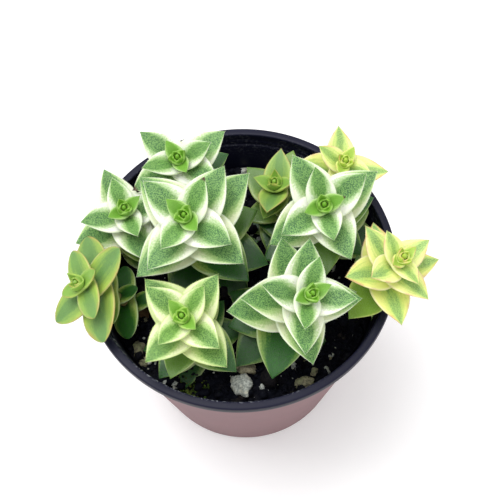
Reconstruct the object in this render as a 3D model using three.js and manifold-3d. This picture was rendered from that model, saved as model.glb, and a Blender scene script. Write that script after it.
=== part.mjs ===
// Potted string of buttons: a two-tone nursery pot, its potting mix and ten shoots of a
// perfoliate Crassula. Millimetres, +Z up, origin at the centre of the pot's underside.
import * as THREE from 'three';
import { mergeVertices } from 'three/addons/utils/BufferGeometryUtils.js';
import Module from 'manifold-3d';

// ---- driving dimensions -------------------------------------------------------------------

const GAP = 0.35; // clearance kept between touching pieces
const AROUND = 48; // facets round the pot and the potting mix

const POT = {
  height: 80,
  rimRadius: 50,
  baseRadius: 35,
  wall: 1.3,
  lipDrop: 3.2, // height of the lip's outer band
  lipOverhang: 1.9, // how far the lip stands out of the wall
  lipWidth: 2.7, // flat top of the lip
  stepDrop: 5.5, // depth of the stacking step inside the lip
  floor: 1.5,
  footHeight: 1.5,
  footWidth: 5.5,
  padRadius: 9,
  holeRadius: 3,
  holeCircle: 20,
  holeCount: 8,
  edge: 0.5, // small flats that break the corners
};

const MIX = {
  level: 65, // height of the surface
  heave: 0.5, // height of its gentle bumps
  broadBump: 30, // length of the bumps along X, and of the smaller ones below
  smallBump: 17,
  shoulder: 1.2, // how far it slumps at the wall
  chamfer: 1.5, // flat that clears the pot's inner corner
};

const STEM = {
  rootDepth: 13, // rooted end below the surface
  tipRadius: 0.9,
  thickening: 0.028, // radius gained per millimetre below the tip
  rootTipRadius: 0.7,
  firstNode: 1.9, // the spacing of the nodes, counted from the tip
  nodeSpace: 1.85,
  widening: 0.17,
  sides: 8,
  stations: 8,
  budLength: 3,
  budRadius: 1.4,
  bud: [[0.62, 1], [0.3, 0.7], [0, 0.12]], // shares of the bud's length and radius, upwards
};

const LEAF = {
  halfBreadth: 0.3, // half breadth at the stem over the leaf's reach
  shoulderGain: 2.9, // swelling of the outline beyond the stem
  taper: 1.1, // tapering power towards the tip
  thicknessBase: 0.9,
  thicknessGain: 0.05, // extra thickness per millimetre of reach
  outerLift: 10, // degrees above level that old leaves tend to
  youngLift: 26, // degrees that the youngest pair stands above that
  opening: 0.75, // share of that kept from pair to pair
  growth: 2.6, // pairs over which the leaves reach full size
  bend: 24, // degrees by which a leaf flattens towards its tip
  bluntGain: 1.7, // the two outline figures of a blunt, oval leaf
  bluntTaper: 0.66,
  bluntLift: 0.35, // share of its lift that a blunt leaf keeps
  outline: [1, 0.82, 0.55, 0.25, 0], // stations from the tip to the waist between two leaves
  bodyShare: 0.55, // where the ring of full thickness lies
};

// Each shoot: foot of the stem in the mix, tip of the bud, slope of the axis at the tip, reach
// that its leaves grow towards, and the compass turn of each pair in degrees, youngest first.
// The leaves of a blunt shoot are ovals that lie nearly flat.
const SHOOTS = [
  { name: 'back_left', foot: [-19, 31], tip: [-18, 26.4, 101], slope: [-0.08, -0.26],
    reach: 24.4, turns: [118, 20, 142, 30] },
  { name: 'left', foot: [-36, 15], tip: [-35, 12, 96], slope: [0.05, -0.15],
    reach: 23, turns: [35, 112, 15, 112, 28] },
  { name: 'centre_left', foot: [-12, 11], tip: [-15.8, 1.6, 108], slope: [-0.18, -0.26],
    reach: 27, turns: [130, 55, 138, 52, 135, 40] },
  { name: 'front_left', foot: [-16, -22], tip: [-17.3, -27.6, 101], slope: [-0.1, -0.22],
    reach: 23, turns: [130, 50, 137, 48, 128] },
  { name: 'front_right', foot: [10, -15], tip: [21, -25.4, 107], slope: [0.38, -0.3],
    reach: 23, turns: [20, 80, 175, 90, 0, 103, 187] },
  { name: 'right_back', foot: [27, 13], tip: [26, 2.6, 108], slope: [-0.04, -0.44],
    reach: 25, turns: [20, 100, 35, 115, 30] },
  { name: 'back_right', foot: [28, 26], tip: [35, 24, 98], slope: [0.15, -0.2],
    reach: 21, turns: [60, 150, 95, 178] },
  { name: 'right_edge', foot: [36, -16], tip: [48.5, -14, 105], slope: [0.3, -0.14],
    reach: 19.5, turns: [35, 120, 35, 128, 14, 100] },
  { name: 'left_edge', foot: [-28, -11], tip: [-50, -12.5, 95], slope: [-0.7, -0.2],
    reach: 23.5, turns: [20, 112, 28, 98], blunt: true },
  { name: 'back_centre', foot: [14, 24], tip: [12, 22, 91], slope: [-0.2, 0.1],
    reach: 26, turns: [165, 75] },
];

// ---- mesh helpers ---------------------------------------------------------------------------

const radians = THREE.MathUtils.degToRad;

/** Geometry from shared points and triangles, as one closed skin. */
function skin(points, triangles) {
  const geometry = new THREE.BufferGeometry();
  geometry.setAttribute(
    'position', new THREE.Float32BufferAttribute(points.flatMap((p) => [p.x, p.y, p.z]), 3));
  geometry.setIndex(triangles);
  geometry.computeVertexNormals();
  return geometry;
}

/** Triangles between neighbouring rings; the last ring meets the first when `closed`. */
function ringTriangles(ringCount, ringSize, closed) {
  const triangles = [];
  const strips = closed ? ringCount : ringCount - 1;
  for (let ring = 0; ring < strips; ring += 1) {
    const here = ring * ringSize;
    const next = ((ring + 1) % ringCount) * ringSize;
    for (let j = 0; j < ringSize; j += 1) {
      const k = (j + 1) % ringSize;
      triangles.push(here + j, here + k, next + k, here + j, next + k, next + j);
    }
  }
  return triangles;
}

/** The position-only, merged copy of a geometry that the boolean library needs. */
function mergedSkin(geometry) {
  const bare = geometry.clone();
  bare.deleteAttribute('normal');
  bare.deleteAttribute('uv');
  return mergeVertices(bare, 1e-4);
}

const wasm = await Module();
wasm.setup();

function solid(geometry) {
  const merged = mergedSkin(geometry);
  return new wasm.Manifold(new wasm.Mesh({
    numProp: 3,
    vertProperties: new Float32Array(merged.attributes.position.array),
    triVerts: new Uint32Array(merged.index.array),
  }));
}

/** The base geometry with every cutter taken out of it. */
function cut(base, cutters) {
  const result = cutters.reduce((body, cutter) => body.subtract(solid(cutter)), solid(base));
  const mesh = result.getMesh();
  const geometry = new THREE.BufferGeometry();
  geometry.setAttribute('position', new THREE.BufferAttribute(mesh.vertProperties, 3));
  geometry.setIndex(new THREE.BufferAttribute(mesh.triVerts, 1));
  geometry.computeVertexNormals();
  return geometry;
}

/** A lathe about +Z through [radius, height] pairs. */
function turned(profile) {
  const points = profile.map(([radius, height]) => new THREE.Vector2(radius, height));
  return new THREE.LatheGeometry(points, AROUND).rotateX(Math.PI / 2);
}

function named(name, geometry, color, roughness) {
  const material = new THREE.MeshStandardMaterial({ color, roughness, metalness: 0 });
  const mesh = new THREE.Mesh(geometry, material);
  mesh.name = name;
  return mesh;
}

// ---- pot and potting mix --------------------------------------------------------------------

const wallTop = POT.height - POT.lipDrop;
const wallSlope = (POT.rimRadius - POT.lipOverhang - POT.baseRadius) / wallTop;
const outerWall = (height) => POT.baseRadius + wallSlope * height;
const innerWall = (height) => outerWall(height) - POT.wall;
const floorTop = POT.footHeight + POT.floor;

/** One moulded shell: pad, drained base, foot ring, tapered wall, lip and stacking step. */
function buildPot() {
  const { height, rimRadius, baseRadius, lipWidth, footHeight, footWidth, padRadius, edge } = POT;
  const shell = turned([
    [0, 0],
    [padRadius, 0],
    [padRadius + edge, footHeight],
    [baseRadius - footWidth - edge, footHeight],
    [baseRadius - footWidth, 0],
    [baseRadius - edge, 0],
    [outerWall(edge), edge],
    [outerWall(wallTop), wallTop],
    [rimRadius - edge, wallTop],
    [rimRadius, wallTop + edge],
    [rimRadius, height - edge],
    [rimRadius - edge, height],
    [rimRadius - lipWidth + edge, height],
    [rimRadius - lipWidth, height - edge],
    [rimRadius - lipWidth, height - POT.lipDrop],
    [innerWall(height - POT.stepDrop), height - POT.stepDrop],
    [innerWall(floorTop + 1), floorTop + 1],
    [innerWall(floorTop) - 1, floorTop],
    [0, floorTop],
  ]);
  const holes = [];
  for (let i = 0; i < POT.holeCount; i += 1) {
    const angle = (2 * Math.PI * (i + 0.5)) / POT.holeCount;
    const hole = new THREE.CylinderGeometry(POT.holeRadius, POT.holeRadius, 3 * floorTop, 12);
    holes.push(hole.rotateX(Math.PI / 2)
      .translate(POT.holeCircle * Math.cos(angle), POT.holeCircle * Math.sin(angle), 0));
  }
  return named('nursery_pot', cut(shell, holes), 0x6b5450, 0.6);
}

/** Height of the mix at a place: long bumps with smaller ones across them. */
function mixHeight(x, y) {
  const broad = (2 * Math.PI) / MIX.broadBump;
  const small = (2 * Math.PI) / MIX.smallBump;
  const swell = Math.sin(x * broad + 1) * Math.cos(y * broad);
  return MIX.level + MIX.heave * (swell + 0.4 * Math.sin((x - y) * small));
}

/** The root ball, gently uneven on top, with a pocket for every rooted stem end. */
function buildMix(pockets) {
  const low = floorTop + GAP;
  const shoulder = MIX.level - MIX.shoulder - MIX.heave;
  const rim = innerWall(shoulder) - GAP;
  const ball = turned([
    [0, low],
    [innerWall(low) - GAP - MIX.chamfer, low],
    [rim, shoulder],
    ...[0.94, 0.66, 0.33, 0].map((share) => [share * rim, MIX.level]),
  ]);
  const place = ball.attributes.position;
  for (let i = 0; i < place.count; i += 1) {
    if (place.getZ(i) > MIX.level - 0.01) {
      place.setZ(i, mixHeight(place.getX(i), place.getY(i)));
    }
  }
  return named('potting_mix', cut(ball, pockets), 0x1d1a1c, 0.95);
}

// ---- stems ----------------------------------------------------------------------------------

/** The stem's axis, from its rooted end to the tip of its bud. */
function stemAxis({ foot, tip, slope }) {
  const start = new THREE.Vector3(foot[0], foot[1], MIX.level - STEM.rootDepth);
  const end = new THREE.Vector3(...tip);
  const heading = new THREE.Vector3(slope[0], slope[1], 1).normalize();
  const middle = end.clone().addScaledVector(heading, -0.5 * start.distanceTo(end));
  return new THREE.QuadraticBezierCurve3(start, middle, end);
}

const stemRadius = (depth) => STEM.tipRadius + STEM.thickening * depth;

/** A frame square to the stem: its axis, and a level direction at a compass turn. */
function frameAt(axis, depth, turn) {
  const t = 1 - depth / axis.getLength();
  const up = axis.getTangentAt(t);
  const along = new THREE.Vector3(Math.cos(radians(turn)), Math.sin(radians(turn)), 0);
  along.addScaledVector(up, -along.dot(up)).normalize();
  const across = new THREE.Vector3().crossVectors(up, along);
  return { centre: axis.getPointAt(t), along, across, up };
}

/** A round skin along the axis through [depth below the tip, radius] stations, low end first. */
function sweep(axis, stations) {
  const points = [];
  for (const [depth, radius] of stations) {
    const { centre, along, across } = frameAt(axis, depth, 0);
    for (let j = 0; j < STEM.sides; j += 1) {
      const angle = (2 * Math.PI * j) / STEM.sides;
      points.push(centre.clone()
        .addScaledVector(along, radius * Math.cos(angle))
        .addScaledVector(across, radius * Math.sin(angle)));
    }
  }
  const rings = stations.length;
  const triangles = ringTriangles(rings, STEM.sides, false);
  const low = points.push(frameAt(axis, stations[0][0], 0).centre) - 1;
  const high = points.push(frameAt(axis, stations[rings - 1][0], 0).centre) - 1;
  const last = (rings - 1) * STEM.sides;
  for (let j = 0; j < STEM.sides; j += 1) {
    const k = (j + 1) % STEM.sides;
    triangles.push(low, k, j, high, last + j, last + k);
  }
  return skin(points, triangles);
}

/** Stem with its rooted end and closed bud, and the pocket that it needs in the mix. */
function buildStem(shoot, axis) {
  const length = axis.getLength();
  const neck = 1.07 * STEM.budLength;
  const stations = [[length, STEM.rootTipRadius]];
  for (let i = 1; i <= STEM.stations; i += 1) {
    const depth = length + ((neck - length) * i) / STEM.stations;
    stations.push([depth, stemRadius(depth)]);
  }
  stations.push(...STEM.bud.map(([a, b]) => [a * STEM.budLength, b * STEM.budRadius]));
  const stem = named(`stem_${shoot.name}`, sweep(axis, stations), 0x8fae5a, 0.6);
  const pocket = sweep(axis, [0.999, 0.9, 0.8, 0.7, 0.6]
    .map((share) => [share * length, stemRadius(share * length) + GAP]));
  pocket.translate(0, 0, -GAP);
  return { stem, pocket };
}

// ---- leaf pairs -----------------------------------------------------------------------------

/** Depth of a pair's node below the tip: the spaces between pairs widen with age. */
const pairDepth = (order) => STEM.firstNode + STEM.nodeSpace * order + STEM.widening * order ** 2;

/** Half breadth of a leaf at a share of its reach: broad above the stem, drawn to a point. */
function halfBreadth(share, blunt) {
  const taper = blunt ? LEAF.bluntTaper : LEAF.taper;
  const gain = blunt ? LEAF.bluntGain : LEAF.shoulderGain;
  return LEAF.halfBreadth * (1 - share) ** taper * (1 + gain * share);
}

/** Outline of a fused pair in its own plane, anticlockwise, as [along, across] in millimetres. */
function pairOutline(reach, blunt) {
  const quarter = LEAF.outline.map((share) => [share * reach, halfBreadth(share, blunt) * reach]);
  const half = [...quarter, ...quarter.slice(0, -1).reverse().map(([a, b]) => [-a, b])];
  return [...half, ...half.slice(1, -1).reverse().map(([a, b]) => [a, -b])];
}

/** One perfoliate pair: a funnel that springs from the stem and flattens to two leaf tips. */
function pairGeometry(reach, lift, hole, blunt) {
  const thickness = LEAF.thicknessBase + LEAF.thicknessGain * reach;
  const steep = radians(lift + LEAF.bend / 2);
  const easing = -radians(LEAF.bend) / reach;
  const widen = 1 + 0.5 * (1 / Math.cos(radians(lift)) - 1);

  const place = (along, across, share, side) => {
    const flat = Math.hypot(along, across);
    const out = hole + share * (flat - hole);
    const rise = steep + easing * (out - hole);
    const offset = (side * thickness * Math.sqrt(1 - share * share)) / 2;
    const level = hole + (Math.sin(rise) - Math.sin(steep)) / easing;
    const height = (Math.cos(steep) - Math.cos(rise)) / easing;
    const radial = share === 0 ? hole : level - offset * Math.sin(rise);
    return new THREE.Vector3(
      (radial * along) / flat,
      ((radial * across) / flat) * (1 + (widen - 1) * share),
      height + offset * Math.cos(rise));
  };

  const outline = pairOutline(reach, blunt);
  const rings = [[0, 1], [LEAF.bodyShare, 1], [1, 0], [LEAF.bodyShare, -1], [0, -1]];
  const points = rings.flatMap(([share, side]) => outline
    .map(([along, across]) => place(along, across, share, side)));
  const triangles = ringTriangles(rings.length, outline.length, true);
  // The rings run outwards over the top, so the strips wind the other way round.
  for (let i = 0; i < triangles.length; i += 3) {
    [triangles[i + 1], triangles[i + 2]] = [triangles[i + 2], triangles[i + 1]];
  }
  return skin(points, triangles);
}

/** Pairs of one shoot, from the youngest at the bud to the oldest. */
function buildPairs(shoot, axis) {
  return shoot.turns.map((turn, index) => {
    const order = index + 1;
    const depth = pairDepth(order);
    const reach = shoot.reach * (1 - Math.exp(-order / LEAF.growth));
    const openLift = LEAF.outerLift + LEAF.youngLift * LEAF.opening ** index;
    const lift = shoot.blunt ? LEAF.bluntLift * openLift : openLift;
    const geometry = pairGeometry(reach, lift, stemRadius(depth) + GAP, shoot.blunt);
    const mesh = named(`leaf_pair_${shoot.name}_${order}`, geometry, 0x8db46a, 0.5);
    const { centre, along, across, up } = frameAt(axis, depth, turn);
    mesh.position.copy(centre);
    mesh.quaternion.setFromRotationMatrix(new THREE.Matrix4().makeBasis(along, across, up));
    return mesh;
  });
}

// ---- assembly -------------------------------------------------------------------------------

const plant = new THREE.Group();
const pockets = [];
for (const shoot of SHOOTS) {
  const axis = stemAxis(shoot);
  const { stem, pocket } = buildStem(shoot, axis);
  plant.add(stem, ...buildPairs(shoot, axis));
  pockets.push(pocket);
}

const pottedPlant = new THREE.Group();
pottedPlant.add(buildPot(), buildMix(pockets), plant);

export default pottedPlant;
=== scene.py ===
import logging
import math
from collections.abc import Mapping, Sequence
from dataclasses import dataclass, field
from enum import Enum
from typing import Any, ClassVar, Union

import bpy
import numpy as np
from mathutils import Matrix, Vector
from numpy.typing import ArrayLike, NDArray


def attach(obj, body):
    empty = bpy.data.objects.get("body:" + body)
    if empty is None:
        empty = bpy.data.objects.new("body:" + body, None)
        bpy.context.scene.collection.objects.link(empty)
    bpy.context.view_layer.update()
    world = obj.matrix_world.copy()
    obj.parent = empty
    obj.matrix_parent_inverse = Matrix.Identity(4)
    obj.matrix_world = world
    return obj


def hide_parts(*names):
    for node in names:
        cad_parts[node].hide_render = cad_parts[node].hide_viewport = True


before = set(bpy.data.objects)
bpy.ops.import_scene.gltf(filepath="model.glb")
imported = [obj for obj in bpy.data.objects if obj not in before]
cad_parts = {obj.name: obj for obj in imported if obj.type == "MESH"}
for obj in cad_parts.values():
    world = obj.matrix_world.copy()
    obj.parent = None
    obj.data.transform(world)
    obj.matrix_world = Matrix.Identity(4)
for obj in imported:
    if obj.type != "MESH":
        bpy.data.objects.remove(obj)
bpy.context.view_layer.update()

log = logging.getLogger("potted_succulent")

MM = 0.001  # shapes are worked out in millimetres and stored in metres
BODY = "root"

Floats = NDArray[np.float64]
Whole = NDArray[np.int64]
Colour = tuple[float, float, float]


# ---- small helpers --------------------------------------------------------------------------


def smooth_step(value: ArrayLike, low: float, high: float) -> Floats:
    """Rises from 0 at low to 1 at high as 3x^2 - 2x^3 of the share x of the way between them."""
    share = np.clip((np.asarray(value, float) - low) / (high - low), 0.0, 1.0)
    return share * share * (3.0 - 2.0 * share)


def unit(vectors: ArrayLike) -> Floats:
    """Vectors divided by their own lengths, along the last axis."""
    array = np.asarray(vectors, float)
    return array / np.maximum(np.linalg.norm(array, axis=-1, keepdims=True), 1e-12)


def paint(code: str) -> Colour:
    """Linear colour of a six-digit hexadecimal display colour.

    Args:
        code: Red, green and blue, two hexadecimal digits each.

    Returns:
        The three channels by the display curve: ((c + 0.055) / 1.055) ^ 2.4.
    """
    channels = np.array([int(code[i : i + 2], 16) for i in (0, 2, 4)]) / 255.0
    low, high = channels / 12.92, ((channels + 0.055) / 1.055) ** 2.4
    return tuple(float(c) for c in np.where(channels <= 0.04045, low, high))


def grid_quads(rows: int, columns: int, loop_rows: bool = False) -> Whole:
    """Quads between the neighbouring points of closed rings that are stored ring by ring.

    Args:
        rows: Number of rings.
        columns: Points on a ring.
        loop_rows: Whether the last ring meets the first.

    Returns:
        Four point numbers for each quad.
    """
    i, j = np.meshgrid(
        np.arange(rows if loop_rows else rows - 1), np.arange(columns), indexing="ij")
    down, across = (i + 1) % rows, (j + 1) % columns
    corners = [i * columns + j, i * columns + across, down * columns + across, down * columns + j]
    return np.stack(corners, axis=-1).reshape(-1, 4)


def angles_round(count: int) -> Floats:
    """Evenly spaced angles round a circle, in radians."""
    return np.linspace(0.0, math.tau, count, endpoint=False)


def turned_rings(radius: ArrayLike, height: ArrayLike, around: int) -> Floats:
    """Rings of points round the Z axis: (r cos a, r sin a, z) for each radius r and height z.

    Args:
        radius: Radius of each ring.
        height: Height of each ring.
        around: Points on a ring.

    Returns:
        The points, as rings by points on a ring by three.
    """
    turn = angles_round(around)
    r, z = (np.asarray(values, float)[:, None] for values in (radius, height))
    return np.stack([r * np.cos(turn), r * np.sin(turn), z + 0.0 * turn], axis=-1)


class Roughcast:
    """Smooth random heights in space: a cube of random numbers, blended between its points."""

    CELLS = 24

    def __init__(self, seed: int) -> None:
        """Draws the cube of random numbers, from -1 to 1, from a seed."""
        self.table = np.random.default_rng(seed).uniform(-1.0, 1.0, (self.CELLS,) * 3)

    def at(self, points: Floats, cell: float) -> Floats:
        """Value at each point: the eight corners of its cell, blended by smooth shares.

        Args:
            points: Places, three numbers each along the last axis.
            cell: Size of one cell.

        Returns:
            A number from -1 to 1 for each place.
        """
        scaled = points / cell
        floor = np.floor(scaled)
        share = scaled - floor
        share = share * share * (3.0 - 2.0 * share)
        low = floor.astype(int) % self.CELLS
        high = (low + 1) % self.CELLS
        total = np.zeros(points.shape[:-1])
        for corner in np.ndindex(2, 2, 2):
            index = tuple(np.where(corner[k], high[..., k], low[..., k]) for k in range(3))
            weights = [share[..., k] if corner[k] else 1.0 - share[..., k] for k in range(3)]
            total += self.table[index] * weights[0] * weights[1] * weights[2]
        return total

    def layered(self, points: Floats, cell: float, layers: int) -> Floats:
        """Sum of layers, each with half the cell and about half the height of the last."""
        return sum(
            self.at(points + 7.3 * layer, cell / 2.0**layer) * 0.55**layer
            for layer in range(layers)
        )


@dataclass
class Shell:
    """A closed skin in millimetres, with what its points know.

    Attributes:
        points: Places, one row each.
        quads: Four point numbers a row.
        triangles: Three point numbers a row.
        fields: Named values, one for each point, which the finishes read.
    """

    points: Floats
    quads: Whole
    triangles: Whole = field(default_factory=lambda: np.zeros((0, 3), int))
    fields: dict[str, Floats] = field(default_factory=dict)

    def outward(self) -> "Shell":
        """This skin with its faces turned outwards.

        The signed volume is a sixth of the sum of a . (b x c) over the triangles, and it is
        positive where the faces already look outwards.

        Returns:
            The same skin, turned where its volume came out negative.
        """
        fans = [self.quads[:, [0, 1, 2]], self.quads[:, [0, 2, 3]], self.triangles]
        a, b, c = (self.points[np.concatenate(fans)[:, k]] for k in range(3))
        if np.einsum("ij,ij->", a, np.cross(b, c)) < 0.0:
            self.quads, self.triangles = self.quads[:, ::-1], self.triangles[:, ::-1]
        return self

    @staticmethod
    def tube(rings: Floats, poles: ArrayLike) -> "Shell":
        """A row of rings, closed by a fan to a pole at each end.

        Args:
            rings: Points, as rings by points on a ring by three.
            poles: The pole before the first ring and the one after the last.

        Returns:
            The closed skin, whose last two points are the poles.
        """
        rows, around = rings.shape[:2]
        j = np.arange(around)
        k = (j + 1) % around
        last, low = (rows - 1) * around, rows * around
        caps = np.concatenate([
            np.stack([k, j, np.full_like(j, low)], axis=1),
            np.stack([last + j, last + k, np.full_like(j, low + 1)], axis=1),
        ])
        points = np.concatenate([rings.reshape(-1, 3), np.asarray(poles, float)])
        return Shell(points, grid_quads(rows, around), caps).outward()

    @staticmethod
    def joined(shells: Sequence["Shell"]) -> "Shell":
        """Several skins as one.

        Args:
            shells: The skins; a field that one of them lacks is 0 there.

        Returns:
            All their points, faces and fields.
        """
        starts = np.cumsum([0] + [len(s.points) for s in shells])
        names = sorted({name for s in shells for name in s.fields})
        return Shell(
            np.concatenate([s.points for s in shells]),
            np.concatenate([s.quads + start for s, start in zip(shells, starts)]),
            np.concatenate([s.triangles + start for s, start in zip(shells, starts)]),
            {
                name: np.concatenate(
                    [s.fields.get(name, np.zeros(len(s.points))) for s in shells]
                )
                for name in names
            },
        )

    def to_object(self, name: str, material: bpy.types.Material) -> bpy.types.Object:
        """The skin as a mesh object at the origin.

        Args:
            name: Name of the object and its mesh.
            material: Its one material.

        Returns:
            The object, linked to the scene.
        """
        mesh = bpy.data.meshes.new(name)
        faces = self.quads.tolist() + self.triangles.tolist()
        mesh.from_pydata((self.points * MM).tolist(), [], faces)
        for key, values in self.fields.items():
            store = mesh.attributes.new(key, "FLOAT", "POINT")
            store.data.foreach_set("value", values.astype(np.float32))
        mesh.validate()
        mesh.shade_smooth()
        mesh.materials.append(material)
        piece = bpy.data.objects.new(name, mesh)
        bpy.context.scene.collection.objects.link(piece)
        return piece


def settle(piece: bpy.types.Object, slot: "Slot", *stands_for: str) -> bpy.types.Object:
    """Fixes a finished piece to the frame and reports it.

    Args:
        piece: The finished object.
        slot: Material slot of the piece; not used.
        *stands_for: Frame nodes that it replaces.

    Returns:
        The same object.
    """
    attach(piece, BODY)
    if stands_for:
        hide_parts(*stands_for)
    mesh = piece.data
    log.info("%s: %d points, %d faces", piece.name, len(mesh.vertices), len(mesh.polygons))
    return piece


# ---- shader maths ---------------------------------------------------------------------------


Term = Union["Signal", float, Colour]


class Signal:
    """An output socket that takes part in arithmetic; each operation adds its node."""

    def __init__(self, graph: "Graph", socket: bpy.types.NodeSocket) -> None:
        """Wraps an output socket of a material's graph."""
        self.graph, self.socket = graph, socket

    def __add__(self, other: Term) -> "Signal":
        """Sum, by channel for colours and vectors."""
        return self.graph.combine("ADD", self, other)

    def __sub__(self, other: Term) -> "Signal":
        """Difference, by channel for colours and vectors."""
        return self.graph.combine("SUBTRACT", self, other)

    def __rsub__(self, other: Term) -> "Signal":
        """Difference with the plain value first, as in 1 - mask."""
        return self.graph.combine("SUBTRACT", other, self)

    def __mul__(self, other: Term) -> "Signal":
        """Product, by channel for colours and vectors."""
        return self.graph.combine("MULTIPLY", self, other)

    __radd__ = __add__
    __rmul__ = __mul__

    def __pow__(self, other: float) -> "Signal":
        """Power of a plain value."""
        return self.graph.combine("POWER", self, other)

    def absolute(self) -> "Signal":
        """Size without the sign."""
        return self.graph.node("ShaderNodeMath", {"operation": "ABSOLUTE"}, {0: self})


class Graph:
    """Nodes of one material, ending in a Principled surface."""

    def __init__(self, name: str) -> None:
        """Starts an empty material.

        Args:
            name: The material's name.
        """
        self.material = bpy.data.materials.new(name)
        self.material.use_nodes = True
        self.tree = self.material.node_tree
        self.tree.nodes.clear()

    def node(
        self,
        kind: str,
        settings: Mapping[str, Any] | None = None,
        sockets: Mapping[str | int, Any] | None = None,
        output: str | int = 0,
    ) -> Signal:
        """Adds one node.

        Args:
            kind: The node's type.
            settings: Its properties, set first.
            sockets: Values or signals by input name or number.
            output: Name or number of the output that is wanted.

        Returns:
            That output.
        """
        made = self.tree.nodes.new(kind)
        for key, value in (settings or {}).items():
            setattr(made, key, value)
        for key, value in (sockets or {}).items():
            socket = made.inputs[key]
            if isinstance(value, Signal):
                self.tree.links.new(value.socket, socket)
            elif isinstance(value, tuple) and socket.type == "RGBA":
                socket.default_value = (*value[:3], 1.0)
            else:
                socket.default_value = value
        return Signal(self, made.outputs[output])

    def combine(self, operation: str, first: Term, second: Term) -> Signal:
        """One sum, difference, product, quotient or power.

        Args:
            operation: The operation's name, the same for numbers and for vectors.
            first: Left operand.
            second: Right operand.

        Returns:
            The result, a vector where either operand is one.
        """
        wide = any(
            isinstance(term, tuple)
            or (isinstance(term, Signal) and term.socket.type in {"VECTOR", "RGBA"})
            for term in (first, second)
        )
        kind = "ShaderNodeVectorMath" if wide else "ShaderNodeMath"
        return self.node(kind, {"operation": operation}, {0: first, 1: second})

    def mix(self, share: Term, first: Term, second: Term) -> Signal:
        """Colour that goes from first to second as share goes from 0 to 1."""
        inputs = {0: share, 6: first, 7: second}
        return self.node("ShaderNodeMix", {"data_type": "RGBA"}, inputs, output=2)

    def step(self, value: Signal, low: float, high: float) -> Signal:
        """Smooth step of a signal, from 0 at low to 1 at high."""
        if low > high:
            return 1.0 - self.step(value, high, low)
        return self.node(
            "ShaderNodeMapRange",
            {"interpolation_type": "SMOOTHSTEP"},
            {"Value": value, "From Min": low, "From Max": high},
        )

    def attribute(self, name: str) -> Signal:
        """A value that the mesh's points carry."""
        return self.node("ShaderNodeAttribute", {"attribute_name": name}, output="Fac")

    def position(self) -> Signal:
        """Object coordinates, in metres."""
        return self.node("ShaderNodeTexCoord", output="Object")

    def axis(self, vector: Signal, name: str) -> Signal:
        """The X, Y or Z part of a vector."""
        return self.node("ShaderNodeSeparateXYZ", sockets={0: vector}, output=name)

    def noise(self, place: Signal, size: float, detail: float = 2.0, rough: float = 0.5) -> Signal:
        """Cloudy noise around 0.5, its clouds of a size, with finer layers of a roughness."""
        sockets = {"Vector": place, "Scale": 1.0 / size, "Detail": detail, "Roughness": rough}
        return self.node("ShaderNodeTexNoise", sockets=sockets)

    def surface(
        self,
        colour: Term,
        roughness: Term,
        height: Signal | None = None,
        relief: float = 0.0001,
        strength: float = 1.0,
        **constants: Any,
    ) -> bpy.types.Material:
        """Closes the graph with its surface.

        Args:
            colour: Base colour.
            roughness: Roughness.
            height: Relief from 0 to 1, or none.
            relief: Real height of that relief, in metres.
            strength: Strength of the relief.
            **constants: Other inputs of the surface, underscores for spaces, plain values only.

        Returns:
            The finished material.
        """
        sockets = {"Base Color": colour, "Roughness": roughness}
        if height is not None:
            sockets["Normal"] = self.node(
                "ShaderNodeBump",
                sockets={"Height": height, "Distance": relief, "Strength": strength},
            )
        sockets |= {key.replace("_", " "): value for key, value in constants.items()}
        shader = self.node("ShaderNodeBsdfPrincipled", sockets=sockets)
        end = self.tree.nodes.new("ShaderNodeOutputMaterial")
        self.tree.links.new(shader.socket, end.inputs["Surface"])
        return self.material


# ---- finishes -------------------------------------------------------------------------------


class Slot(Enum):
    """Material slots of the record."""

    POT = "pot_plastic"
    MIX = "potting_mix"
    STEM = "stem"
    CREAM = "leaf_cream"
    GOLD = "leaf_gold"


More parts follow.
